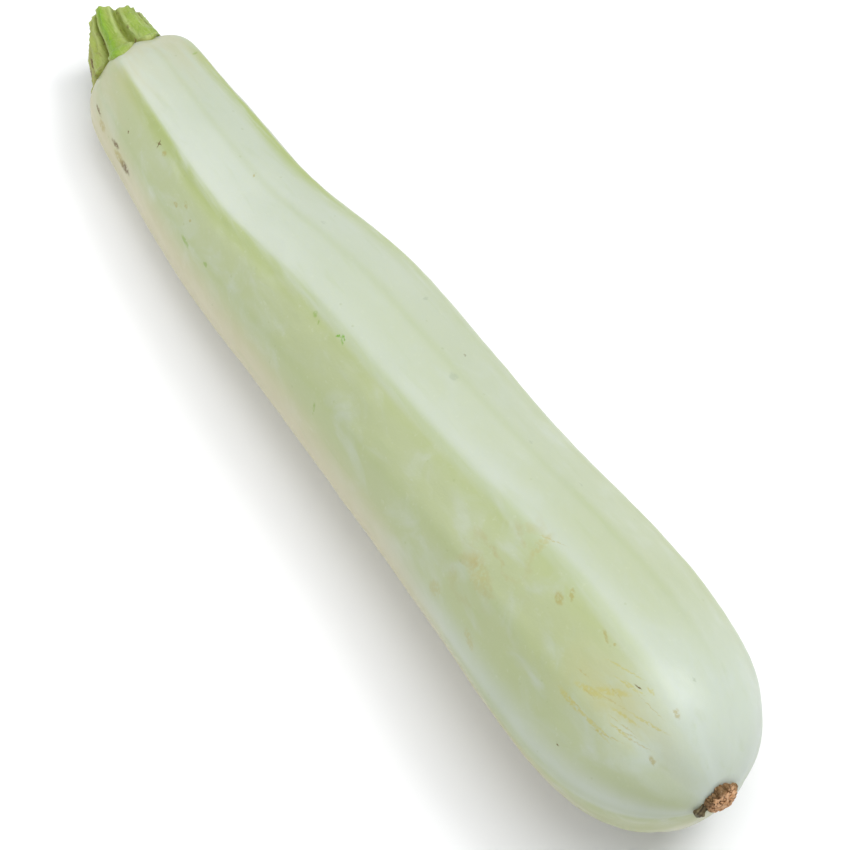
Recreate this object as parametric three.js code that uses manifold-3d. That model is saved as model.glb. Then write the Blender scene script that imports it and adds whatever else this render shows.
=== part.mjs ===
// A long pale summer squash, picked with a short stub of its stem and lying on a flat surface.
//
// Units are millimetres and +Z is up. The squash lies along X: the cut stem points to -X and the blossom
// end to +X. The origin is at the middle of the underside of the bounding box, on the surface it rests on.
//
// The fruit is one solid with ten lengthwise ridges, five strong and five faint, on a club-shaped body.
// The stem stub, the dried blossom scar and the shrivelled petal base beside it are separate solids.
import * as THREE from "three";
import { ParametricGeometry } from "three/addons/geometries/ParametricGeometry.js";
import { mergeVertices } from "three/addons/utils/BufferGeometryUtils.js";
import Module from "manifold-3d";

const wasm = await Module();
wasm.setup();

// ---- Driving dimensions -------------------------------------------------------------------------------

const FRUIT_LENGTH = 294;

// The body's outline: [distance from the stem end, mean radius, sideways sway of the middle line].
const OUTLINE = [
  [0, 18.1, 1.5],
  [25, 19.2, -0.2],
  [51, 21.2, -1.8],
  [77, 22.8, -2.3],
  [102, 25.2, -0.6],
  [121, 26.5, 0.4],
  [151, 27.1, 0.3],
  [180, 27.8, 0.4],
  [209, 29.5, 0.6],
  [236, 30.9, 0.6],
  [258, 31.0, 0.4],
  [294, 35.5, -0.5],
];

// The rounded ends: how far each reaches along the fruit, and how square its curve is (2 is an ellipse).
const SHOULDER = { reach: 24, square: 2.9 };
// One side of the shoulder reaches a little further out past the stem than the rest of it.
const SHOULDER_LOBE = { out: 2.4, from: 20 };
const BLOSSOM_END = { reach: 45, square: 1.9 };

// Ridge angles at the stem end, in degrees from straight up, turning towards -Y.
const STRONG_RIDGES = [25, 103, 170, 240, 311];
const FAINT_RIDGES = [62, 137, 205, 277, 350];
const STRONG_FLATNESS = 0.45;
const FAINT_FLATNESS = 0.35;
const RIDGE_ROUNDING = 0.13;
const RIDGE_LIFT = 1.05;

// The ridges turn by this much between two stations along the fruit.
const TWIST = { degrees: -22, from: 55, to: 285 };

// The middle line runs at this share of the radius above the surface, and what would sink is flattened.
const BELLY_HEIGHT = 0.965;

// Stem stub: a ribbed stub, leaning up and to the side, whose rib feet spread over the shoulder. The ribs
// are at angles round the stem, and a groove is STEM_GROOVE deep between ribs that are evenly spaced.
const STEM_LENGTH = 16.6;
const STEM_SUNK = 7;
const STEM_RADIUS = { cut: 8, waist: 9.4, foot: 12.4 };
const STEM_LEAN = { up: 7, side: 10 };
const STEM_RIBS = [25, 67, 105, 150, 205, 262, 325];
const STEM_GROOVE = 2;
const STEM_RIB_GAP = 360 / STEM_RIBS.length;
const STEM_CUT_SHARE = 0.15;
const STEM_FOOT_SHARE = 0.1;

// Blossom scar, a crust on the blossom end, and the petal base beside it.
const SCAR = { wide: 8.4, high: 8.6, thick: 5, at: { along: FRUIT_LENGTH + 0.2, side: 1, up: 2 } };
const SCAR_LUMP = 0.7;
const PETAL_BASE = { radius: 1.3, length: 5 };

// Clear gap between a piece and the fruit it grew on.
const GAP = 0.3;

// ---- The fruit ----------------------------------------------------------------------------------------

const radians = THREE.MathUtils.degToRad;

/** Value of one outline column at a distance along the fruit, on a smooth curve through its points. */
function onOutline(along, column) {
  const last = OUTLINE.length - 1;
  const slope = (i) => {
    const before = OUTLINE[Math.max(i - 1, 0)];
    const after = OUTLINE[Math.min(i + 1, last)];
    return (after[column] - before[column]) / (after[0] - before[0]);
  };
  let i = 0;
  while (i < last - 1 && OUTLINE[i + 1][0] < along) i++;
  const span = OUTLINE[i + 1][0] - OUTLINE[i][0];
  const t = (along - OUTLINE[i][0]) / span;
  const keep = 2 * t ** 3 - 3 * t ** 2 + 1;
  return (
    keep * OUTLINE[i][column] +
    (1 - keep) * OUTLINE[i + 1][column] +
    (t ** 3 - 2 * t ** 2 + t) * span * slope(i) +
    (t ** 3 - t ** 2) * span * slope(i + 1)
  );
}

/** Share of the full radius at a distance from a rounded end. */
function endShare(distance, end) {
  const inwards = THREE.MathUtils.clamp(1 - distance / end.reach, 0, 1);
  return (1 - inwards ** end.square) ** (1 / end.square);
}

/** How far the surface dips below its circle between two ridges, as a share of the radius. */
function dipBetween(ridges, angle) {
  const here = THREE.MathUtils.euclideanModulo(angle, 360);
  const sorted = [...ridges].sort((a, b) => a - b);
  const ring = [sorted.at(-1) - 360, ...sorted, sorted[0] + 360];
  const next = ring.findIndex((ridge) => ridge > here);
  const gap = ring[next] - ring[next - 1];
  const across = (here - ring[next - 1]) / gap;
  const rounded = (share) => Math.hypot(share, RIDGE_ROUNDING) - RIDGE_ROUNDING;
  return (radians(gap) ** 2 / 2) * rounded(across) * rounded(1 - across);
}

/** Point of the skin, or of a surface `grown` outside it, in the fruit's frame: X from the stem end. */
function skinPoint(along, angle, grown = 0) {
  const turn = TWIST.degrees * THREE.MathUtils.smoothstep(along, TWIST.from, TWIST.to);
  const dip =
    STRONG_FLATNESS * dipBetween(STRONG_RIDGES, angle - turn) +
    FAINT_FLATNESS * dipBetween([...STRONG_RIDGES, ...FAINT_RIDGES], angle - turn);
  const middle = onOutline(along, 1);
  const ends = endShare(along, SHOULDER) * endShare(FRUIT_LENGTH - along, BLOSSOM_END);
  const radius = middle * (RIDGE_LIFT - dip) * ends + grown;
  const lean = radians(angle);
  const lobe = Math.max(Math.sin(radians(angle - SHOULDER_LOBE.from)), 0) ** 1.5;
  const nearStem = 1 - THREE.MathUtils.smoothstep(along, 0, SHOULDER.reach);
  return new THREE.Vector3(
    along - SHOULDER_LOBE.out * lobe * ends * nearStem,
    onOutline(along, 2) - radius * Math.sin(lean),
    Math.max(middle * BELLY_HEIGHT + radius * Math.cos(lean), -grown),
  );
}

/** The fruit as a closed grid of rings, close together at both ends. `grown` thickens it all round. */
function fruitGeometry(around, rings, grown = 0) {
  const surface = (u, v, target) => {
    const share = (1 - Math.cos(Math.PI * v)) / 2;
    const along = FRUIT_LENGTH * share;
    target.copy(skinPoint(along, 360 * u, v > 0 && v < 1 ? grown : 0));
    target.x += grown * (2 * share - 1);
  };
  return new ParametricGeometry(surface, around, rings);
}

// ---- Solids -------------------------------------------------------------------------------------------

/** A closed geometry as a manifold solid. */
function solidOf(geometry) {
  const bare = geometry.clone();
  bare.deleteAttribute("normal");
  bare.deleteAttribute("uv");
  const merged = mergeVertices(bare, 1e-4);
  return new wasm.Manifold(
    new wasm.Mesh({
      numProp: 3,
      vertProperties: merged.attributes.position.array,
      triVerts: new Uint32Array(merged.index.array),
    }),
  );
}

/** A manifold solid as a geometry. */
function geometryOf(solid) {
  const { vertProperties, triVerts } = solid.getMesh();
  const geometry = new THREE.BufferGeometry();
  geometry.setAttribute("position", new THREE.BufferAttribute(vertProperties, 3));
  geometry.setIndex(new THREE.BufferAttribute(triVerts, 1));
  geometry.computeVertexNormals();
  return geometry;
}

const keepOut = solidOf(fruitGeometry(72, 96, GAP));

/** A geometry in the fruit's frame with the fruit, and the gap round it, cut away. */
function seatedOnFruit(geometry) {
  return geometryOf(solidOf(geometry).subtract(keepOut));
}

// ---- The stem -----------------------------------------------------------------------------------------

/** Depth of the grooves at an angle round the stem, as a share of STEM_GROOVE: 0 on a rib's crown. */
function stemGroove(angle) {
  const here = THREE.MathUtils.euclideanModulo(angle, 360);
  const ring = [STEM_RIBS.at(-1) - 360, ...STEM_RIBS, STEM_RIBS[0] + 360];
  const next = ring.findIndex((rib) => rib > here);
  const gap = ring[next] - ring[next - 1];
  const across = (here - ring[next - 1]) / gap;
  return (gap / STEM_RIB_GAP) * Math.sin(Math.PI * across) ** 4;
}

/** The ribbed stub about its own +Z axis, from the middle of the flat cut down to inside the shoulder. */
function stemGeometry() {
  const height = STEM_LENGTH + STEM_SUNK;
  const surface = (u, v, target) => {
    const onCut = Math.max(STEM_CUT_SHARE - v, 0) / STEM_CUT_SHARE;
    const onFoot = Math.max(v - 1 + STEM_FOOT_SHARE, 0) / STEM_FOOT_SHARE;
    const side = (v - STEM_CUT_SHARE) / (1 - STEM_CUT_SHARE - STEM_FOOT_SHARE);
    const down = THREE.MathUtils.clamp(side, 0, 1);
    const flare = (STEM_RADIUS.foot - STEM_RADIUS.waist) * THREE.MathUtils.smoothstep(down, 0.25, 0.8);
    const mouth = (STEM_RADIUS.cut - STEM_RADIUS.waist) * (1 - THREE.MathUtils.smoothstep(down, 0, 0.3));
    const depth = STEM_GROOVE * (0.8 + 0.5 * down);
    const radius = STEM_RADIUS.waist + flare + mouth - depth * stemGroove(360 * u);
    const inwards = radius * (1 - onCut) * (1 - onFoot);
    const angle = radians(360 * u);
    target.set(inwards * Math.cos(angle), -inwards * Math.sin(angle), STEM_LENGTH - height * down);
  };
  return new ParametricGeometry(surface, 56, 24);
}

function stem() {
  const lean = new THREE.Euler(0, radians(STEM_LEAN.up - 90), radians(-STEM_LEAN.side), "ZYX");
  const place = new THREE.Matrix4().makeRotationFromEuler(lean);
  place.setPosition(2, OUTLINE[0][2], OUTLINE[0][1] * BELLY_HEIGHT);
  return seatedOnFruit(stemGeometry().applyMatrix4(place));
}

// ---- The blossom scar and petal base --------------------------------------------------------------------

/** A closed lumpy pad, its thickness along X. */
function padGeometry({ thick, wide, high }, lump, around, rings) {
  const surface = (u, v, target) => {
    const angle = 2 * Math.PI * u;
    const tilt = Math.PI * v;
    const swell = 1 + lump * Math.sin(tilt) ** 2 * (Math.cos(5 * angle) + Math.sin(3 * angle + 4 * tilt));
    target.set(
      (-thick / 2) * Math.cos(tilt),
      (-wide / 2) * Math.sin(tilt) * Math.sin(angle) * swell,
      (high / 2) * Math.sin(tilt) * Math.cos(angle) * swell,
    );
  };
  return new ParametricGeometry(surface, around, rings);
}

function blossomScar() {
  const { along, side, up } = SCAR.at;
  const pad = padGeometry(SCAR, SCAR_LUMP / SCAR.wide, 36, 20);
  return seatedOnFruit(pad.translate(along, side, OUTLINE.at(-1)[1] * BELLY_HEIGHT + up));
}

function petalBase() {
  const { radius, length } = PETAL_BASE;
  const stub = new THREE.CylinderGeometry(radius, radius * 0.8, length, 16, 4);
  stub.rotateZ(Math.PI / 2).rotateZ(radians(-38));
  const { along, side, up } = SCAR.at;
  return seatedOnFruit(
    stub.translate(along, side - 6.7, OUTLINE.at(-1)[1] * BELLY_HEIGHT + up + 0.5),
  );
}

// ---- Assembly -----------------------------------------------------------------------------------------

/** A named mesh in its own plain finish. */
function piece(name, geometry, color, roughness) {
  const material = new THREE.MeshStandardMaterial({ color, roughness, metalness: 0 });
  const mesh = new THREE.Mesh(geometry, material);
  mesh.name = name;
  return mesh;
}

const squash = new THREE.Group();
squash.add(
  piece("fruit", fruitGeometry(48, 64), 0xc9d6b0, 0.42),
  piece("stem", stem(), 0x84b24c, 0.6),
  piece("blossom_scar", blossomScar(), 0xa87650, 0.85),
  piece("petal_base", petalBase(), 0x4a3d22, 0.8),
);

// The origin goes to the middle of the underside.
const bounds = new THREE.Box3().setFromObject(squash);
const centre = bounds.getCenter(new THREE.Vector3());
squash.position.set(-centre.x, -centre.y, -bounds.min.z);

export default squash;
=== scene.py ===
"""Looks of a long pale summer squash with a ribbed green stem stub and a dried blossom scar.

The squash lies along X with its stem towards -X, on the plane z = 0. Everything is in metres in the CAD
frame. Shapes are worked out in millimetres in the fruit's own frame, whose X runs along the middle line
from the stem end, and are placed by the CAD node's box.
"""

import math

import bpy
import numpy as np
from mathutils import Euler, Matrix, Vector, noise


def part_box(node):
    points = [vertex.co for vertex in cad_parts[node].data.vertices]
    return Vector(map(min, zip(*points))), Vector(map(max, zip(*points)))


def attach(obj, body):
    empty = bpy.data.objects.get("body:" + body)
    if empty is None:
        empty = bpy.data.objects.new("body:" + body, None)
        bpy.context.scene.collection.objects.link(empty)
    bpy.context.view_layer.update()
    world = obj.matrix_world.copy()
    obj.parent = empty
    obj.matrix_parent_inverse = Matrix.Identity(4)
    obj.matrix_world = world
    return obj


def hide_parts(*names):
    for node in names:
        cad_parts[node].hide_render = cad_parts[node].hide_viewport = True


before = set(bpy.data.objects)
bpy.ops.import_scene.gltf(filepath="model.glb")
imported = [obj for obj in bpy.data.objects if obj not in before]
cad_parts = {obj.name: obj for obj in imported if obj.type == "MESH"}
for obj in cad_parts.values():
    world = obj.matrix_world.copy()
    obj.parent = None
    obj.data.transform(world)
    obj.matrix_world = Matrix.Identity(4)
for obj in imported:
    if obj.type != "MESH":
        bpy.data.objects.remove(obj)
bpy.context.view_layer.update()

MM = 0.001

# ---- The fruit's form, as in the CAD model ---------------------------------------------------------------

FRUIT_LENGTH = 294.0
OUTLINE = np.array([  # distance from the stem end, mean radius, sideways sway of the middle line
    (0, 18.1, 1.5), (25, 19.2, -0.2), (51, 21.2, -1.8), (77, 22.8, -2.3), (102, 25.2, -0.6), (121, 26.5, 0.4),
    (151, 27.1, 0.3), (180, 27.8, 0.4), (209, 29.5, 0.6), (236, 30.9, 0.6),
    (258, 31.0, 0.4), (294, 35.5, -0.5),
])
SHOULDER_REACH, SHOULDER_SQUARE = 24.0, 2.9
SHOULDER_LOBE = 2.4  # how far one side of the shoulder reaches out
SHOULDER_LOBE_FROM = 20.0  # the angle of that side
BLOSSOM_REACH, BLOSSOM_SQUARE = 45.0, 1.9
STRONG_RIDGES = np.array([25.0, 103.0, 170.0, 240.0, 311.0])
FAINT_RIDGES = np.array([62.0, 137.0, 205.0, 277.0, 350.0])
ALL_RIDGES = np.sort(np.concatenate([STRONG_RIDGES, FAINT_RIDGES]))
STRONG_FLATNESS, FAINT_FLATNESS = 0.45, 0.35
RIDGE_ROUNDING = 0.13
RIDGE_LIFT = 1.05
TWIST, TWIST_FROM, TWIST_TO = -22.0, 55.0, 285.0
BELLY_HEIGHT = 0.965


def smoothstep(value, low, high):
    """0 below low, 1 above high, and a smooth rise between them. high may be the lower one."""
    t = np.clip((value - low) / (high - low), 0, 1)
    return t * t * (3 - 2 * t)


def bell(value, middle, width):
    """1 at middle, falling off smoothly over about width."""
    return np.exp(-(((value - middle) / width) ** 2))


def on_outline(along, column):
    """Value of an OUTLINE column at a distance along the fruit, on a smooth curve through its points."""
    places, values = OUTLINE[:, 0], OUTLINE[:, column]
    before, after = np.r_[0, 0 : len(places) - 1], np.r_[1 : len(places), len(places) - 1]
    slopes = (values[after] - values[before]) / (places[after] - places[before])
    i = np.clip(np.searchsorted(places, along) - 1, 0, len(places) - 2)
    span = places[i + 1] - places[i]
    t = (along - places[i]) / span
    keep = 2 * t**3 - 3 * t**2 + 1
    return (
        keep * values[i]
        + (1 - keep) * values[i + 1]
        + (t**3 - 2 * t**2 + t) * span * slopes[i]
        + (t**3 - t**2) * span * slopes[i + 1]
    )


def end_share(distance, reach, square):
    inwards = np.clip(1 - distance / reach, 0, 1)
    return (1 - inwards**square) ** (1 / square)


def between(ridges, angle):
    """Gap in degrees between the two ridges on either side of an angle, and the share of it crossed."""
    here = np.mod(angle, 360)
    after = np.searchsorted(ridges, here, side="right")
    low = np.where(after > 0, ridges[after - 1], ridges[-1] - 360)
    high = np.where(after < len(ridges), ridges[after % len(ridges)], ridges[0] + 360)
    return high - low, (here - low) / (high - low)


def dip_between(ridges, angle, rounding):
    gap, across = between(ridges, angle)
    rounded = lambda share: np.hypot(share, rounding) - rounding
    return np.radians(gap) ** 2 / 2 * rounded(across) * rounded(1 - across)


def twist(along):
    return TWIST * smoothstep(along, TWIST_FROM, TWIST_TO)


def skin_point(along, angle, grown=0.0):
    """Points of the skin in millimetres, in the fruit's own frame. Angles are in degrees from straight up,
    turning towards -Y."""
    along, angle, grown = np.broadcast_arrays(along, angle, grown)
    turned = angle - twist(along)
    dip = STRONG_FLATNESS * dip_between(STRONG_RIDGES, turned, RIDGE_ROUNDING)
    dip = dip + FAINT_FLATNESS * dip_between(ALL_RIDGES, turned, RIDGE_ROUNDING)
    middle = on_outline(along, 1)
    ends = end_share(along, SHOULDER_REACH, SHOULDER_SQUARE)
    ends = ends * end_share(FRUIT_LENGTH - along, BLOSSOM_REACH, BLOSSOM_SQUARE)
    radius = middle * (RIDGE_LIFT - dip) * ends + grown
    lean = np.radians(angle)
    lobe = np.clip(np.sin(np.radians(angle - SHOULDER_LOBE_FROM)), 0, 1) ** 1.5
    x = along - SHOULDER_LOBE * lobe * ends * smoothstep(along, SHOULDER_REACH, 0)
    y = on_outline(along, 2) - radius * np.sin(lean)
    z = np.maximum(middle * BELLY_HEIGHT + radius * np.cos(lean), 0)
    return np.stack([x, y, z], -1)


fruit_low, fruit_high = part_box("fruit")
sample_angles = np.linspace(0, 360, 181)
sample_along = np.linspace(1, FRUIT_LENGTH - 1, 147)
sample_skin = skin_point(sample_along[:, None], sample_angles[None, :])
shoulder_skin = skin_point(np.linspace(0, 12, 121), 90 + SHOULDER_LOBE_FROM)
FRUIT_ORIGIN = Vector((
    fruit_low.x - MM * shoulder_skin[:, 0].min(),
    (fruit_low.y + fruit_high.y) / 2 - MM * (sample_skin[..., 1].min() + sample_skin[..., 1].max()) / 2,
    0.0,
))


def placed(point):
    """A point in the fruit's frame, in millimetres, as a Vector in the shared frame, in metres."""
    return FRUIT_ORIGIN + MM * Vector([float(c) for c in point])


# ---- Meshes ----------------------------------------------------------------------------------------------


def rough(points, scale, seed, octaves=3):
    """Smooth noise of about -1 to 1 at each point, with bumps about `scale` millimetres apart."""
    shift = Vector((seed * 7.3, seed * -3.1, seed * 5.7))
    flat = np.asarray(points).reshape(-1, 3) / scale
    values = [noise.fractal(Vector(p) + shift, 1.0, 2.0, octaves) for p in flat]
    return np.array(values).reshape(np.asarray(points).shape[:-1])


def ring_mesh(name, rings, first, last, attributes=None):
    """A closed mesh from rings of points, capped by one point at each end, all in millimetres in the
    fruit's frame. attributes gives one value for each ring point, by name."""
    count, around, _ = rings.shape
    points = np.concatenate([rings.reshape(-1, 3), [first], [last]])
    points = points * MM + np.array(FRUIT_ORIGIN)
    head, tail = count * around, count * around + 1
    i, j = np.meshgrid(np.arange(count - 1), np.arange(around), indexing="ij")
    after = (j + 1) % around
    quads = np.stack([i * around + j, i * around + after, (i + 1) * around + after, (i + 1) * around + j], -1)
    j = np.arange(around)
    after = (j + 1) % around
    base = (count - 1) * around
    faces = quads.reshape(-1, 4).tolist()
    faces += [[head, int(b), int(a)] for a, b in zip(j, after)]
    faces += [[tail, int(base + a), int(base + b)] for a, b in zip(j, after)]
    mesh = bpy.data.meshes.new(name)
    mesh.from_pydata(points.tolist(), [], faces)
    for key, values in (attributes or {}).items():
        flat = np.asarray(values, float).reshape(count, around)
        full = np.concatenate([flat.ravel(), [flat[0].mean()], [flat[-1].mean()]]).astype(np.float32)
        mesh.attributes.new(key, "FLOAT", "POINT").data.foreach_set("value", full)
    mesh.polygons.foreach_set("use_smooth", [True] * len(mesh.polygons))
    mesh.update()
    piece = bpy.data.objects.new(name, mesh)
    bpy.context.scene.collection.objects.link(piece)
    return piece


# ---- Node materials --------------------------------------------------------------------------------------


class Look:
    """A node material, with short ways to add the nodes used here."""

    def __init__(self, name, **shader):
        self.material = bpy.data.materials.new(name)
        self.material.use_nodes = True
        self.tree = self.material.node_tree
        self.shader = self.tree.nodes["Principled BSDF"]
        for key, value in shader.items():
            self.shader.inputs[key.replace("_", " ")].default_value = value
        self.place = self.node("ShaderNodeTexCoord").outputs["Object"]

    def node(self, kind, **settings):
        node = self.tree.nodes.new(kind)
        for key, value in settings.items():
            setattr(node, key, value)
        return node

    def plug(self, socket, value):
        if isinstance(value, bpy.types.NodeSocket):
            self.tree.links.new(value, socket)
        else:
            socket.default_value = value

    def wire(self, name, value):
        self.plug(self.shader.inputs[name], value)

    def mask(self, name):
        return self.node("ShaderNodeAttribute", attribute_name=name).outputs["Fac"]

    def math(self, operation, a, b=0.0, clamp=False):
        node = self.node("ShaderNodeMath", operation=operation, use_clamp=clamp)
        self.plug(node.inputs[0], a)
        self.plug(node.inputs[1], b)
        return node.outputs[0]

    def noise(self, size, detail=2.0, stretch=(1, 1, 1), distortion=0.0, offset=(0, 0, 0)):
        """Noise of 0 to 1 with bumps about `size` millimetres apart, longer along a stretched axis."""
        mapping = self.node("ShaderNodeMapping")
        self.plug(mapping.inputs["Vector"], self.place)
        mapping.inputs["Scale"].default_value = [1 / s for s in stretch]
        mapping.inputs["Location"].default_value = offset
        texture = self.node("ShaderNodeTexNoise")
        self.plug(texture.inputs["Vector"], mapping.outputs[0])
        texture.inputs["Scale"].default_value = 1 / (size * MM)
        texture.inputs["Detail"].default_value = detail
        texture.inputs["Distortion"].default_value = distortion
        return texture.outputs["Fac"]

    def between(self, value, low, high, top=1.0):
        """0 where value is under low, top where it is over high, and smooth between them."""
        node = self.node("ShaderNodeMapRange", interpolation_type="SMOOTHSTEP")
        self.plug(node.inputs["Value"], value)
        for key, number in (("From Min", low), ("From Max", high), ("To Min", 0.0), ("To Max", top)):
            node.inputs[key].default_value = number
        return node.outputs[0]

    def mix(self, share, a, b):
        node = self.node("ShaderNodeMix", data_type="RGBA", clamp_factor=True)
        self.plug(node.inputs["Factor"], share)
        for socket, colour in ((node.inputs[6], a), (node.inputs[7], b)):
            self.plug(socket, colour if isinstance(colour, bpy.types.NodeSocket) else (*colour, 1.0))
        return node.outputs[2]

    def bump(self, height, depth, under=None):
        """A bump `depth` millimetres deep, on top of another bump if one is given."""
        node = self.node("ShaderNodeBump")
        node.inputs["Distance"].default_value = depth * MM
        self.plug(node.inputs["Height"], height)
        if under is not None:
            self.plug(node.inputs["Normal"], under)
        return node.outputs[0]


# ---- Fruit -----------------------------------------------------------------------------------------------

FRUIT_RINGS, FRUIT_AROUND = 420, 234
SCAR_SIDE, SCAR_UP = 1.0, 2.0  # where the scar's middle is, from the fruit's middle line at the blossom end
SCAR_HEIGHT = OUTLINE[-1, 1] * BELLY_HEIGHT + SCAR_UP


def fruit_relief(along, angle, points):
    """Fine shape on top of the CAD form, in millimetres out from the skin."""
    turned = angle - twist(along)
    gap, across = between(STRONG_RIDGES, turned)
    from_ridge = np.minimum(across, 1 - across) * gap
    neck = smoothstep(along, 150, 40)
    ends = smoothstep(along, 0, 14) * smoothstep(FRUIT_LENGTH - along, 0, 20)
    crest = bell(from_ridge, 0, 3.2) * (0.05 + 0.2 * neck) * ends
    beside = bell(from_ridge, 7.5, 4.5) * (-0.05 - 0.12 * neck) * ends
    lumps = 0.34 * rough(points * (0.4, 1, 1), 17, 1) + 0.1 * rough(points, 5.5, 2, 2)
    flutes = np.cos(np.radians(turned * 10 - 30 + 20 * np.sin(np.radians(turned * 3))))
    fluting = 0.42 * flutes * bell(along, FRUIT_LENGTH - 6, 17) * smoothstep(FRUIT_LENGTH - along, 0.1, 7)
    near_stem = 0.5 * np.cos(np.radians(turned * 5 - 100)) * bell(along, 7, 8) * smoothstep(along, 0.5, 4)
    to_scar = np.hypot(points[..., 1] - SCAR_SIDE, points[..., 2] - SCAR_HEIGHT)
    far_end = along > FRUIT_LENGTH / 2
    collar = np.where(far_end, 0.35 * bell(to_scar, 6.2, 1.3) - 0.5 * bell(to_scar, 3.2, 1.9), 0)
    return crest + beside + lumps * ends + fluting + near_stem + collar


def fruit_masks(along, angle):
    """Where the skin's colours change, each 0 to 1 over the fruit."""
    turned = angle - twist(along)
    _, faint_across = between(ALL_RIDGES, turned)
    gap, across = between(STRONG_RIDGES, turned)
    after, before = across * gap, (1 - across) * gap
    neck = smoothstep(along, 150, 60)
    bulb = smoothstep(along, 170, 240)
    # line: painted shade, a darker green band on the shaded side just after each strong ridge
    on_line = np.where(after > gap / 2, after - gap, after)
    line = smoothstep(on_line, -2.5 - 3 * bulb, 1.5) * smoothstep(on_line, 17, 2)
    line = line * (0.4 + 0.6 * neck) * smoothstep(along, 4, 20)
    # crest: a painted highlight, a paler band on the lit side just before each strong ridge
    crest = smoothstep(before, 0, 2.5) * smoothstep(before, 22, 4) * (0.05 + 0.95 * neck)
    down = np.abs(np.mod(angle + 180, 360) - 180)
    panel = np.mod(turned - after, 360)
    paler = 0.1 + 0.25 * smoothstep(along, 90, 170) + 0.2 * bulb
    greener = np.where(np.abs(panel - STRONG_RIDGES[-1]) < 2, paler, 1)
    sage = smoothstep(after, 1.5, 7) * smoothstep(before, 1, 22) * greener
    under = smoothstep(down, 62 + 18 * bulb, 92 + 16 * bulb)
    second = bell(np.minimum(faint_across, 1 - faint_across), 0, 0.09)
    bloom = smoothstep(along, 238, 286) * smoothstep(np.mod(angle + 180, 360) - 180, 75, 15)
    shoulder = smoothstep(along, 40, 3)
    return {
        "line": line * smoothstep(along, FRUIT_LENGTH - 8, FRUIT_LENGTH - 40),
        "crest": np.clip(crest, 0, 1) * smoothstep(along, 4, 18),
        "sage": sage,
        "under": under * (1 - 0.8 * smoothstep(along, 250, 280)),
        "second": second,
        "bloom": bloom,
        "shoulder": shoulder,
        "facing_down": smoothstep(down, 100, 150),
        "scuffed": bell(turned, 50, 16) * bell(along, 266, 17),
        "tan_zone": bell(turned, 50, 24) * bell(along, 214, 9),
    }


# Small marks on the skin: kind, distance along the fruit, angle round it, half length and half width in
# millimetres, and lean from the fruit's length in degrees.
MARKS = [
    ("brown", 13.7, 76, 2.4, 0.6, 5), ("ochre", 17.5, 82, 2.2, 1.5, 10), ("brown", 26, 78, 2.5, 1.0, -10),
    ("brown", 33.5, 84, 3.5, 1.6, -8), ("ochre", 29.5, 84, 3.4, 1.7, -8), ("brown", 29.5, 54.6, 0.5, 0.5, 0),
    ("brown", 42.3, 35, 1.4, 0.28, 70), ("brown", 42.3, 35, 1.3, 0.28, -20),
    ("ochre", 46.4, 35.7, 1.0, 0.9, 0),
    ("ochre", 69, 49.4, 0.6, 0.5, 0), ("ochre", 64.4, 45, 1.3, 0.8, 20), ("ochre", 61, 52, 1.1, 0.6, 0),
    ("green", 71, 65, 2.4, 0.9, 10), ("green", 82, 62, 1.2, 0.6, 0), ("ochre", 70, -8.9, 1.0, 0.3, 60),
    ("green", 17, -42.4, 1.3, 0.45, 60), ("green", 122.5, 26.2, 0.9, 0.8, 0),
    ("green", 125, 27.5, 0.7, 0.4, 40),
    ("vivid", 134.3, 22.6, 1.5, 0.6, 35), ("vivid", 132.6, 23.6, 0.9, 0.35, -40),
    ("green", 140.4, 64.7, 1.7, 0.55, 65), ("brown", 154.3, -33.6, 0.42, 0.4, 0),
    ("grey", 132.3, -37.5, 1.4, 0.5, 70), ("grey", 160.5, -15.7, 1.7, 1.3, 0),
    ("ochre", 236.5, 12.3, 1.8, 0.7, 40),
    ("ochre", 250.9, 11.4, 2.1, 0.5, 15), ("ochre", 254.2, 10.3, 0.6, 0.4, 30), ("tan", 205, 70, 2.6, 2.2, 0),
    ("tan", 223, 70.5, 3.2, 1.4, 20), ("brown", 262, 66, 0.6, 0.35, 30), ("grey", 272, -13.4, 0.7, 0.5, 0),
    ("ochre", 282, 34.7, 1.5, 0.7, 25), ("brown", 266.8, 13.4, 1.3, 0.2, -15),
    ("ochre", 277.6, 5.4, 1.6, 0.8, 10),
    ("grey", 96, -20, 0.8, 0.6, 0), ("grey", 188, -28, 0.9, 0.6, 40), ("grey", 206, -35, 0.7, 0.5, 0),
    ("tan", 213, 42, 6.5, 3.2, 25), ("tan", 219.5, 9, 4.5, 1.5, 75),
    ("fine", 220.5, 3.2, 4.4, 0.22, -28),
    ("ochre", 235, 18, 2.2, 1.2, 20),
]
# Marks on the sides that lie away from the camera, so that the skin is no cleaner there.
BACK_MARKS = [
    ("ochre", 58, 200, 1.6, 0.8, 20), ("brown", 92, 250, 1.4, 0.4, 30), ("tan", 150, 228, 5.5, 2.4, 15),
    ("green", 118, 285, 1.7, 0.6, 50), ("grey", 178, 262, 1.4, 1.0, 0), ("brown", 201, 292, 0.6, 0.5, 0),
    ("ochre", 226, 250, 2.6, 0.6, 8), ("ochre", 233, 243, 3.1, 0.4, 12), ("green", 64, 300, 1.2, 0.6, 30),
    ("tan", 246, 285, 3.4, 1.8, 30), ("brown", 36, 150, 1.8, 0.5, 10), ("ochre", 120, 125, 2.1, 0.7, 10),
]
MARK_COLOURS = {
    "brown": (0.14, 0.09, 0.02), "ochre": (0.36, 0.29, 0.07), "green": (0.22, 0.35, 0.05),
    "vivid": (0.16, 0.36, 0.02), "grey": (0.3, 0.35, 0.24),
    "tan": (0.43, 0.38, 0.15), "scratch": (0.47, 0.43, 0.12),
    "fine": (0.42, 0.36, 0.13),
}
MARK_STRENGTH = {
    "brown": 0.92, "ochre": 0.55, "green": 0.6, "vivid": 0.95,
    "grey": 0.4, "tan": 0.38, "scratch": 0.6, "fine": 0.5,
}
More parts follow.
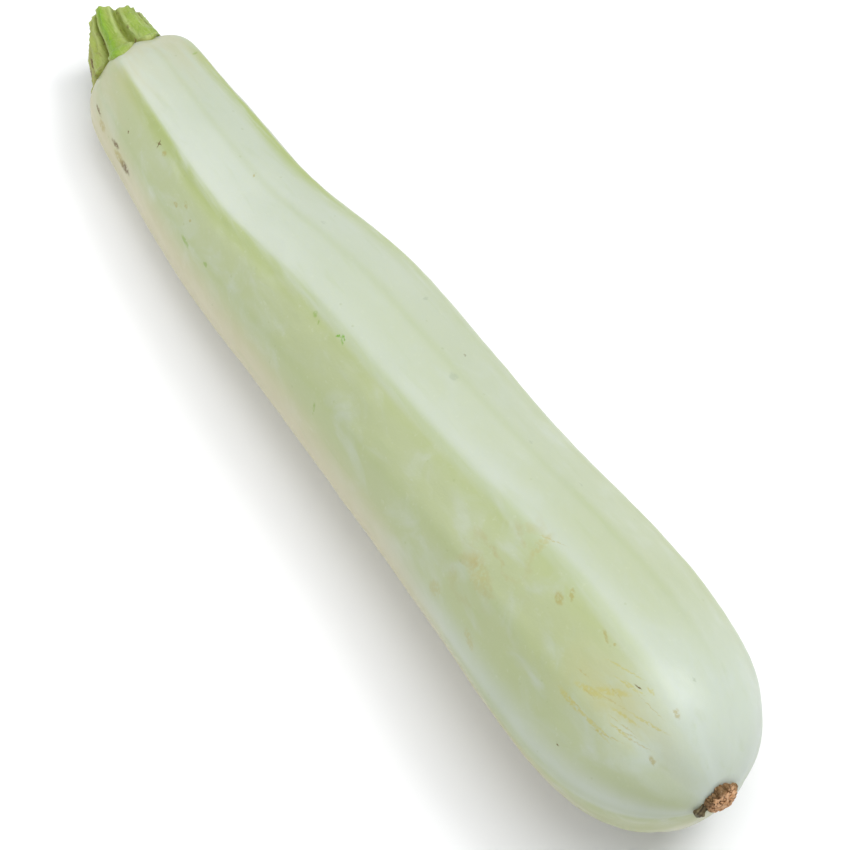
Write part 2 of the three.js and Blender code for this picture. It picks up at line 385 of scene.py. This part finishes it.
# The plainest scratches on the scuffed patch near the blossom end: distance along, angle, half length, half
# width and lean.
SCRATCHES = [
    (262.6, 43.4, 10.0, 0.42, 2), (256.8, 44.3, 4.6, 0.75, 1), (266.5, 42.4, 6.0, 0.3, -3),
    (275.4, 20.6, 5.6, 0.42, -21), (270.0, 28.2, 4.4, 0.5, -14), (264.5, 17.2, 4.2, 0.3, -17),
    (266.3, 15.3, 3.6, 0.26, -15), (259.0, 33.0, 4.8, 0.9, -20), (263.5, 24.5, 5.0, 1.0, -38),
    (269.6, 9.8, 1.6, 0.5, -10), (261.0, 13.5, 6.0, 0.24, -22), (272.0, 35.0, 3.6, 0.3, -8),
]
FINE_SCRATCHES = 10


def scratch_marks():
    """Scratches on the scuffed patch: the plainest ones and finer ones between them."""
    dice = np.random.default_rng(12)
    marks = [("scratch", *scratch) for scratch in SCRATCHES]
    for _ in range(FINE_SCRATCHES):
        along = dice.uniform(254, 278)
        angle = dice.uniform(14, 44)
        length = dice.uniform(2.0, 5.5)
        marks.append(("fine", along, angle, length, dice.uniform(0.14, 0.24), dice.uniform(-22, 0)))
    return marks


def mark_mask(look, wobble, along, angle, half_length, half_width, lean):
    """A soft-edged patch on the skin, 1 in its middle. Its frame is flat on the skin there."""
    here, ahead, round_it = (
        placed(skin_point(along + a, angle + b)) for a, b in ((0, 0), (1, 0), (0, 2))
    )
    forward = (ahead - here).normalized()
    outward = forward.cross(round_it - here).normalized()
    turned = Matrix.Rotation(math.radians(lean), 3, outward) @ forward
    axes = Matrix((turned, outward.cross(turned), outward)).transposed()
    mapping = look.node("ShaderNodeMapping", vector_type="TEXTURE")
    look.plug(mapping.inputs["Vector"], wobble)
    mapping.inputs["Location"].default_value = here
    mapping.inputs["Rotation"].default_value = axes.to_euler()
    mapping.inputs["Scale"].default_value = (half_length * MM, half_width * MM, 5 * MM)
    length = look.node("ShaderNodeVectorMath", operation="LENGTH")
    look.plug(length.inputs[0], mapping.outputs[0])
    return look.between(length.outputs["Value"], 1.25, 0.5)


def skin_look():
    look = Look("skin", Roughness=0.4, IOR=1.42, Subsurface_Weight=0.16, Subsurface_Scale=0.004)
    look.shader.inputs["Subsurface Radius"].default_value = (1.0, 0.9, 0.45)
    look.shader.inputs["Specular IOR Level"].default_value = 0.42

    broad = look.noise(38, 3, (2.2, 1, 1))
    streaks = look.noise(3.2, 3, (9, 1, 1), 0.4)
    cloudy = look.noise(9, 4, (1.6, 1, 1), 0.6)
    fine = look.noise(1.4, 3)

    mint, pale = (0.48, 0.53, 0.42), (0.53, 0.575, 0.49)
    colour = look.mix(look.between(broad, 0.35, 0.68), mint, pale)
    sage = look.math("MULTIPLY", look.mask("sage"), look.between(cloudy, 0.1, 0.55))
    colour = look.mix(look.math("MULTIPLY", sage, 0.75), colour, (0.405, 0.455, 0.205))
    colour = look.mix(look.math("MULTIPLY", look.mask("second"), 0.22), colour, (0.36, 0.42, 0.18))
    # Painted highlight: a paler band on the lit side of each strong ridge.
    colour = look.mix(look.math("MULTIPLY", look.mask("crest"), 0.4), colour, (0.57, 0.61, 0.5))
    # Painted shade: a darker green band on the shaded side of each strong ridge.
    line = look.math("MULTIPLY", look.mask("line"), look.between(streaks, 0.15, 0.6))
    colour = look.mix(look.math("MULTIPLY", line, 0.85), colour, (0.35, 0.42, 0.12))
    colour = look.mix(look.math("MULTIPLY", look.mask("under"), 0.8), colour, (0.55, 0.5, 0.33))
    colour = look.mix(look.math("MULTIPLY", look.mask("facing_down"), 0.5), colour, (0.64, 0.6, 0.43))
    colour = look.mix(look.math("MULTIPLY", look.mask("bloom"), 0.7), colour, (0.54, 0.6, 0.53))
    shoulder = look.math("MULTIPLY", look.mask("shoulder"), look.between(streaks, 0.25, 0.7))
    colour = look.mix(look.math("MULTIPLY", shoulder, 0.6), colour, (0.5, 0.48, 0.3))
    colour = look.mix(look.between(streaks, 0.56, 0.8, 0.2), colour, (0.38, 0.45, 0.22))
    colour = look.mix(look.between(fine, 0.6, 0.78, 0.16), colour, (0.6, 0.64, 0.5))

    scuffed = look.math("MULTIPLY", look.mask("scuffed"), look.between(cloudy, 0.3, 0.65))
    colour = look.mix(look.math("MULTIPLY", scuffed, 0.5), colour, (0.46, 0.42, 0.14))
    tan = look.math("MULTIPLY", look.mask("tan_zone"),
                    look.between(look.noise(4.2, 4, (1.5, 1, 1)), 0.5, 0.68))
    colour = look.mix(look.math("MULTIPLY", tan, 0.75), colour, (0.41, 0.355, 0.16))
    specks = look.node("ShaderNodeTexVoronoi", feature="F1")
    look.plug(specks.inputs["Vector"], look.place)
    specks.inputs["Scale"].default_value = 1 / (7 * MM)
    dots = look.between(specks.outputs["Distance"], 0.075, 0.035)
    colour = look.mix(look.math("MULTIPLY", dots, 0.3), colour, (0.33, 0.38, 0.18))

    shake = look.node("ShaderNodeTexNoise")
    look.plug(shake.inputs["Vector"], look.place)
    shake.inputs["Scale"].default_value = 1 / (1.1 * MM)
    centred = look.node("ShaderNodeVectorMath", operation="SUBTRACT")
    look.plug(centred.inputs[0], shake.outputs["Color"])
    centred.inputs[1].default_value = (0.5, 0.5, 0.5)
    moved = look.node("ShaderNodeVectorMath", operation="MULTIPLY_ADD")
    look.plug(moved.inputs[0], centred.outputs[0])
    moved.inputs[1].default_value = (1.1 * MM, 1.1 * MM, 1.1 * MM)
    look.plug(moved.inputs[2], look.place)
    wobble = moved.outputs[0]
    broken = look.between(look.noise(0.9, 3), 0.3, 0.55)
    for kind, *where in MARKS + BACK_MARKS + scratch_marks():
        mask = mark_mask(look, wobble, *where)
        mask = look.math("MULTIPLY", mask, broken)
        colour = look.mix(look.math("MULTIPLY", mask, MARK_STRENGTH[kind]), colour, MARK_COLOURS[kind])
    look.wire("Base Color", colour)
    look.wire("Roughness", look.math("ADD", look.between(cloudy, 0.2, 0.8, 0.16), 0.32))
    pores = look.bump(look.noise(0.55, 2), 0.02)
    look.wire("Normal", look.bump(look.noise(2.4, 3, (1.8, 1, 1)), 0.09, pores))
    return look.material


def fruit():
    v = (np.arange(FRUIT_RINGS) + 1) / (FRUIT_RINGS + 1)
    along = FRUIT_LENGTH * (1 - np.cos(np.pi * v)) / 2
    angle = 360 * np.arange(FRUIT_AROUND) / FRUIT_AROUND
    along, angle = np.meshgrid(along, angle, indexing="ij")
    plain = skin_point(along, angle)
    rings = skin_point(along, angle, fruit_relief(along, angle, plain))
    middle = OUTLINE[:, 1] * BELLY_HEIGHT
    first = (0, OUTLINE[0, 2], middle[0])
    last = (FRUIT_LENGTH - 0.4, OUTLINE[-1, 2], middle[-1])
    piece = ring_mesh("squash_skin", rings, first, last, fruit_masks(along, angle))
    piece.data.materials.append(skin_look())
    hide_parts("fruit")
    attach(piece, "root")
    return piece


# ---- Stem ------------------------------------------------------------------------------------------------

STEM_LENGTH, STEM_SUNK = 16.6, 7.0
STEM_LEAN_UP, STEM_LEAN_SIDE = 7.0, 10.0
STEM_CUT_RADIUS, STEM_WAIST_RADIUS, STEM_FOOT_RADIUS = 8.0, 9.4, 12.4
STEM_RIBS = np.array([25.0, 67.0, 105.0, 150.0, 205.0, 262.0, 330.0])
STEM_GROOVE = 2.3
STEM_RINGS, STEM_AROUND = 190, 320
STEM_CUT_RINGS = 34
HAIRS = 16


def stem_point(points):
    """Points about the stem's own axis, moved to where it grows from the fruit."""
    lean = Euler((0, math.radians(STEM_LEAN_UP - 90), math.radians(-STEM_LEAN_SIDE)), "XYZ").to_matrix()
    foot = np.array([2, OUTLINE[0, 2], OUTLINE[0, 1] * BELLY_HEIGHT])
    return points @ np.array(lean).T + foot


def stem():
    """Rounded ribs that swell into toes on the shoulder, deep grooves between them, and a rough cut."""
    angle = 360 * np.arange(STEM_AROUND) / STEM_AROUND
    gap, across = between(STEM_RIBS, angle)
    signed = np.mod(angle + 180, 360) - 180
    from_rib = np.minimum(across, 1 - across)
    groove = (gap / 51) ** 0.6 * np.sin(np.pi * across) ** 5
    down = np.linspace(0, 1, STEM_RINGS)[:, None]
    swell = (STEM_FOOT_RADIUS - STEM_WAIST_RADIUS) * smoothstep(down, 0.25, 0.8)
    mouth = (STEM_CUT_RADIUS - STEM_WAIST_RADIUS) * smoothstep(down, 0.3, 0)
    crown = 1 - (2 * from_rib[None, :]) ** 2
    toes = 0.9 * bell(down, 0.58, 0.12) * crown
    toes = toes + 1.9 * bell(angle, STEM_RIBS[2], 30)[None, :] * bell(down, 0.33, 0.22)
    toes = toes + 1.2 * bell(signed, -52, 30)[None, :] * bell(down, 0.48, 0.16)
    depth = STEM_GROOVE * (0.62 + 0.75 * smoothstep(down, 0.1, 0.7))
    fold = 0.3 * np.cos(np.radians(3 * 360 * across))[None, :] * smoothstep(down, 0.75, 0.35)
    radius = STEM_WAIST_RADIUS + swell + mouth + toes + fold - depth * groove[None, :]
    wander = 4 * np.sin(3.1 * down + 0.7) + 2.5 * np.sin(7 * down)
    turn = np.radians(angle[None, :] + wander)
    height = STEM_LENGTH - (STEM_LENGTH + STEM_SUNK) * down + 0 * turn
    rise = 2.4 * bell(signed, 34, 30) - 0.5 * bell(signed, -45, 40) - 0.7 * bell(signed, 108, 24)
    height = height + rise[None, :] * smoothstep(down, 0.6, 0)
    side = np.stack([radius * np.cos(turn), -radius * np.sin(turn), height], -1)
    streaks = rough(side * (1, 1, 0.12), 0.8, 5)
    lumps = rough(side * (1, 1, 0.5), 2.6, 6)
    warts = np.clip(rough(side, 0.9, 12, 2) - 0.15, 0, 1)
    side[..., :2] *= (1 + (0.2 * streaks + 0.34 * lumps + 0.3 * warts) / np.maximum(radius, 1))[..., None]
    side[0, :, 2] -= 0.25
    side[..., 2] += 0.5 * rough(side * (1, 1, 0.3), 2.4, 8) * smoothstep(down, 0.12, 0.0)

    share = np.linspace(0, 1, STEM_CUT_RINGS + 1)[1:-1, None]
    rim = side[0]
    cut = np.empty((STEM_CUT_RINGS - 1, STEM_AROUND, 3))
    cut[..., :2] = rim[None, :, :2] * share[..., None]
    cut[..., 2] = rim[None, :, 2] * share**6 + (STEM_LENGTH - 0.5) * (1 - share**6)
    cut[..., 2] += rise * share * (1 - share**6)
    cut[..., 2] += 0.35 * rough(cut, 1.7, 9) - 0.6 * bell(share, 0.1, 0.16)
    rings = np.concatenate([cut, side])
    on_cut = np.concatenate([np.ones(cut.shape[:2]), np.zeros(side.shape[:2])])
    on_cut[STEM_CUT_RINGS - 1] = 0.7
    flat = 0 * cut[..., 0]
    masks = {
        "on_cut": on_cut,
        "down": np.concatenate([flat, down + 0 * turn]),
        "rib": np.concatenate([flat, crown + 0 * turn]),
        "groove": np.concatenate([flat, np.clip(groove[None, :] + 0 * turn, 0, 1)]),
        "aged": np.concatenate([flat, bell(signed, 100, 48)[None, :] + 0 * turn]),
        "streak": np.concatenate([flat, bell(angle, STEM_RIBS[0] + 3, 7)[None, :] + 0 * turn]),
    }
    placed_rings = stem_point(rings)
    over = smoothstep(down, 0.6, 1)
    toe_reach = (0.25 + 0.75 * bell(signed, 10, 42)) * smoothstep(signed, -48, -12)
    grip = smoothstep(down, 0.48, 0.74)[..., None]
    on_skin = skin_point(
        1.2 + 1.6 * crown * (0.25 + 0.75 * toe_reach) + (0.3 + 6.4 * crown * toe_reach) * over,
        np.degrees(turn),
        (0.3 + 1.9 * crown) * (1 - 2 * over**4) + 0.25 * rough(side, 1.8, 14),
    )
    placed_rings[-STEM_RINGS:] = placed_rings[-STEM_RINGS:] * (1 - grip) + on_skin * grip
    first = stem_point(np.array([0, 0, STEM_LENGTH - 1.1]))
    last = stem_point(np.array([0, 0, -STEM_SUNK]))
    piece = ring_mesh("stem_stub", placed_rings, first, last, masks)
    piece.data.materials.append(stem_look())
    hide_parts("stem")
    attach(piece, "root")
    stem_hairs(side[0])
    return piece


def stem_hairs(rim):
    """Torn fibres a few millimetres long, standing up from the rim of the cut."""
    dice = np.random.default_rng(5)
    points, faces = [], []
    for _ in range(HAIRS):
        root = rim[dice.integers(len(rim))] * (0.98, 0.98, 1) - (0, 0, 0.4)
        way = np.array([dice.normal(0, 0.5), dice.normal(0, 0.5), 1.0])
        bend = np.array([dice.normal(0, 0.6), dice.normal(0, 0.6), 0])
        length, thick = dice.uniform(0.8, 2.4), dice.uniform(0.05, 0.09)
        steps = np.linspace(0, 1, 7)[:, None]
        spine = root + length * (way * steps + bend * steps**2)
        start = len(points)
        for centre, width in zip(spine, thick * (1 - 0.8 * steps[:, 0])):
            points += [centre + width * np.array([math.cos(a), math.sin(a), 0]) for a in (0, 2.09, 4.19)]
        for i in range(6):
            for j in range(3):
                k = (j + 1) % 3
                faces.append([
                    start + 3 * i + j, start + 3 * i + k, start + 3 * i + 3 + k, start + 3 * i + 3 + j,
                ])
        faces += [[start + 2, start + 1, start], [start + 18, start + 19, start + 20]]
    mesh = bpy.data.meshes.new("stem_hairs")
    placed_points = stem_point(np.array(points)) * MM + np.array(FRUIT_ORIGIN)
    mesh.from_pydata(placed_points.tolist(), [], faces)
    piece = bpy.data.objects.new("stem_hairs", mesh)
    bpy.context.scene.collection.objects.link(piece)
    look = Look("stem_hair", Roughness=0.7)
    look.wire("Base Color", look.mix(look.noise(0.8, 2), (0.16, 0.16, 0.08), (0.4, 0.42, 0.2)))
    piece.data.materials.append(look.material)
    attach(piece, "root")


def stem_look():
    look = Look("stem", Roughness=0.5, Subsurface_Weight=0.12, Subsurface_Scale=0.0015)
    look.shader.inputs["Subsurface Radius"].default_value = (0.7, 1.0, 0.3)
    fibres = look.noise(0.5, 3, (12, 1, 1), 0.3)
    patches = look.noise(3.0, 4, (2.5, 1, 1), 0.4)
    fine = look.noise(0.35, 2)
    colour = look.mix(look.between(patches, 0.3, 0.7), (0.22, 0.33, 0.03), (0.32, 0.43, 0.08))
    colour = look.mix(look.between(fibres, 0.45, 0.75, 0.55), colour, (0.45, 0.52, 0.2))
    rib = look.mask("rib")
    edge = look.math("MULTIPLY", look.between(rib, 0.25, 0.6), look.between(rib, 0.9, 0.6))
    colour = look.mix(look.math("MULTIPLY", edge, 0.35), colour, (0.52, 0.56, 0.28))
    # Painted shade: darker colour down in the grooves between the ribs.
    colour = look.mix(look.between(look.mask("groove"), 0.35, 0.95, 0.8), colour, (0.17, 0.2, 0.02))
    olive = look.math("MULTIPLY", look.between(look.noise(4.5, 3, (2, 1, 1)), 0.45, 0.62), 0.5)
    colour = look.mix(olive, colour, (0.3, 0.36, 0.07))
    colour = look.mix(look.math("MULTIPLY", look.mask("aged"), 0.65), colour, (0.36, 0.35, 0.08))
    worn = look.math("MULTIPLY", look.between(look.noise(2.6, 4, (2.5, 1, 1)), 0.56, 0.66), look.mask("aged"))
    colour = look.mix(worn, colour, (0.16, 0.11, 0.02))
    colour = look.mix(look.math("MULTIPLY", look.mask("streak"), 0.95), colour, (0.19, 0.36, 0.002))
    colour = look.mix(look.between(look.mask("down"), 0.8, 0.95, 0.6), colour, (0.3, 0.3, 0.06))
    colour = look.mix(look.between(look.mask("down"), 0.07, 0.0, 0.5), colour, (0.36, 0.42, 0.12))
    spots = look.math("MULTIPLY", look.between(look.noise(2.0, 4, (1.6, 1, 1)), 0.6, 0.68),
                      look.mask("groove"))
    colour = look.mix(spots, colour, (0.14, 0.08, 0.02))
    # Painted highlights: small pale flecks over the stem.
    colour = look.mix(look.between(fine, 0.62, 0.8, 0.35), colour, (0.5, 0.58, 0.28))
    flesh = look.mix(look.between(patches, 0.35, 0.7), (0.5, 0.6, 0.28), (0.66, 0.68, 0.42))
    colour = look.mix(look.mask("on_cut"), colour, flesh)
    look.wire("Base Color", colour)
    look.wire("Roughness", look.math("ADD", look.between(patches, 0.2, 0.8, 0.2), 0.4))
    grain = look.bump(fine, 0.08)
    look.wire("Normal", look.bump(fibres, 0.3, grain))
    return look.material


# ---- Blossom scar and petal base -------------------------------------------------------------------------

SCAR_RADIUS = 4.5
SCAR_RINGS, SCAR_AROUND = 90, 200


def blossom_scar():
    """A dry crust of curled ridges, like a walnut half, standing a little out of the blossom end."""
    tilt = np.pi * (np.arange(SCAR_RINGS) + 1)[:, None] / (SCAR_RINGS + 1)
    turn = 2 * np.pi * np.arange(SCAR_AROUND)[None, :] / SCAR_AROUND
    lobes = 1 + 0.1 * np.cos(2 * turn - 0.9) + 0.07 * np.cos(5 * turn) + 0.05 * np.sin(9 * turn)
    out = -np.cos(tilt) + 0 * turn
    y = -np.sin(tilt) * np.sin(turn) * lobes
    z = np.sin(tilt) * np.cos(turn) * lobes
    shape = np.stack([out * 2.1, y * SCAR_RADIUS, z * SCAR_RADIUS * 0.96], -1)
    folds = np.clip(np.abs(rough(shape * (0.7, 1, 1), 1.5, 21, 2)) * 4.5, 0, 1)
    crumbs = rough(shape, 0.7, 22, 3)
    direction = shape / np.linalg.norm(shape, axis=-1, keepdims=True)
    shape = shape + direction * (0.62 * folds + 0.2 * crumbs)[..., None]
    rings = shape + np.array([FRUIT_LENGTH - 0.3, SCAR_SIDE, SCAR_HEIGHT])
    first = (FRUIT_LENGTH - 2.4, SCAR_SIDE, SCAR_HEIGHT)
    last = rings[-1].mean(axis=0)
    rim = np.hypot(y, z)
    piece = ring_mesh("scar_crust", rings, first, last, {"fold": folds, "rim": rim})
    piece.data.materials.append(scar_look())
    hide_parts("blossom_scar")
    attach(piece, "root")
    return piece


def scar_look():
    look = Look("scar", Roughness=0.85)
    patches = look.noise(1.6, 3)
    grit = look.noise(0.4, 3)
    colour = look.mix(look.between(patches, 0.35, 0.65), (0.52, 0.27, 0.12), (0.66, 0.4, 0.22))
    colour = look.mix(look.between(look.mask("fold"), 0.75, 0.1, 0.9), colour, (0.12, 0.05, 0.012))
    colour = look.mix(look.between(look.mask("rim"), 0.72, 0.98, 0.8), colour, (0.09, 0.05, 0.008))
    colour = look.mix(look.between(look.noise(0.9, 4), 0.53, 0.62, 0.75), colour, (0.13, 0.06, 0.015))
    colour = look.mix(look.between(grit, 0.6, 0.75, 0.6), colour, (0.74, 0.52, 0.33))
    look.wire("Base Color", colour)
    look.wire("Normal", look.bump(grit, 0.12))
    return look.material


PETAL_RINGS, PETAL_AROUND = 60, 72


def petal_base():
    """The shrivelled stub of a petal, puckered lengthwise and frayed at its end."""
    down = np.linspace(0, 1, PETAL_RINGS)[:, None]
    turn = 2 * np.pi * np.arange(PETAL_AROUND)[None, :] / PETAL_AROUND
    body = 1.35 * (1 - 0.25 * bell(down, 0.55, 0.2))
    body = body * np.sqrt(np.clip(1 - smoothstep(down, 0.25, -0.02), 0.02, 1))
    puckers = 1 + 0.16 * np.cos(6 * turn + 2 * down) + 0.08 * np.cos(11 * turn)
    radius = body * puckers
    curl = 0.5 * np.sin(2.2 * down)
    shape = np.stack([4.2 * (1 - down) + 0 * turn,
                      radius * np.cos(turn) + curl, 0.85 * radius * np.sin(turn)], -1)
    shape = shape + 0.16 * rough(shape, 0.8, 31)[..., None]
    lean = np.array(Matrix.Rotation(math.radians(-58), 3, "Z") @ Matrix.Rotation(math.radians(8), 3, "Y"))
    foot = np.array([FRUIT_LENGTH - 1.4, SCAR_SIDE - 4.6, SCAR_HEIGHT + 0.1])
    rings = shape @ lean.T + foot
    first, last = rings[0].mean(axis=0), rings[-1].mean(axis=0)
    across = (np.cos(6 * turn + 2 * down) + 1) / 2
    piece = ring_mesh("petal_stub", rings, first, last, {"pucker": across, "tip": 1 - down + 0 * turn})
    piece.data.materials.append(petal_look())
    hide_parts("petal_base")
    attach(piece, "root")
    return piece


def petal_look():
    look = Look("petal", Roughness=0.8)
    patches = look.noise(1.1, 3)
    colour = look.mix(look.between(patches, 0.35, 0.65), (0.07, 0.045, 0.015), (0.16, 0.13, 0.06))
    colour = look.mix(look.between(look.mask("pucker"), 0.5, 0.05, 0.7), colour, (0.025, 0.015, 0.006))
    colour = look.mix(look.between(look.mask("tip"), 0.86, 1.0, 0.5), colour, (0.3, 0.3, 0.22))
    look.wire("Base Color", colour)
    look.wire("Normal", look.bump(look.noise(0.3, 3), 0.1))
    return look.material


# ---- Studio ----------------------------------------------------------------------------------------------

CAMERA_AZIMUTH, CAMERA_ELEVATION = math.radians(57.3), math.radians(57)
CAMERA_DISTANCE = 1.1
CAMERA_LENS, CAMERA_SENSOR = 172.7, 36.0


def camera():
    back = Vector((
        math.sin(CAMERA_AZIMUTH) * math.cos(CAMERA_ELEVATION),
        -math.cos(CAMERA_AZIMUTH) * math.cos(CAMERA_ELEVATION),
        math.sin(CAMERA_ELEVATION),
    ))
    right = Vector((math.cos(CAMERA_AZIMUTH), math.sin(CAMERA_AZIMUTH), 0))
    up = back.cross(right)
    middle = (fruit_low + fruit_high) / 2
    aim = Vector((middle.x - 8.5 * MM, middle.y, 27 * MM)) + right * 10.8 * MM - up * 11.0 * MM
    data = bpy.data.cameras.new("camera")
    data.lens, data.sensor_width = CAMERA_LENS, CAMERA_SENSOR
    data.clip_start, data.clip_end = 0.05, 20
    eye = bpy.data.objects.new("camera", data)
    eye.matrix_world = (
        Matrix.Translation(aim + back * CAMERA_DISTANCE) @ Matrix((right, up, back)).transposed().to_4x4()
    )
    bpy.context.scene.collection.objects.link(eye)
    bpy.context.scene.camera = eye


def soft_light(name, place, size, power, at=(0, 0, 0)):
    data = bpy.data.lights.new(name, "AREA")
    data.shape, data.size, data.energy = "DISK", size, power
    lamp = bpy.data.objects.new(name, data)
    lamp.location = place
    lamp.rotation_euler = (Vector(at) - Vector(place)).to_track_quat("-Z", "Y").to_euler()
    bpy.context.scene.collection.objects.link(lamp)


def studio():
    bpy.ops.mesh.primitive_plane_add(size=12, location=(0, 0, 0))
    floor = bpy.context.object
    floor.name = "floor"
    look = Look("floor", Roughness=0.9)
    look.shader.inputs["Specular IOR Level"].default_value = 0.1
    look.wire("Base Color", look.mix(look.noise(300, 2), (0.9, 0.9, 0.9), (0.92, 0.92, 0.92)))
    floor.data.materials.append(look.material)

    world = bpy.data.worlds.new("studio")
    world.use_nodes = True
    world.node_tree.nodes["Background"].inputs["Color"].default_value = (0.94, 0.97, 1.04, 1)
    world.node_tree.nodes["Background"].inputs["Strength"].default_value = 0.38
    bpy.context.scene.world = world
    soft_light("top", (0.1, 0.15, 1.1), 1.0, 7)
    soft_light("key", (0.3, 0.95, 1.4), 0.9, 12)
    soft_light("left", (0.35, -0.9, 0.7), 0.9, 2.4, at=(0.05, 0, 0))
    soft_light("fill", (-0.34, -0.3, 0.26), 0.25, 0.5, at=(-0.12, -0.03, 0))
    bpy.context.scene.view_settings.view_transform = "Standard"


camera()
fruit()
stem()
blossom_scar()
petal_base()
studio()

bpy.context.view_layer.update()
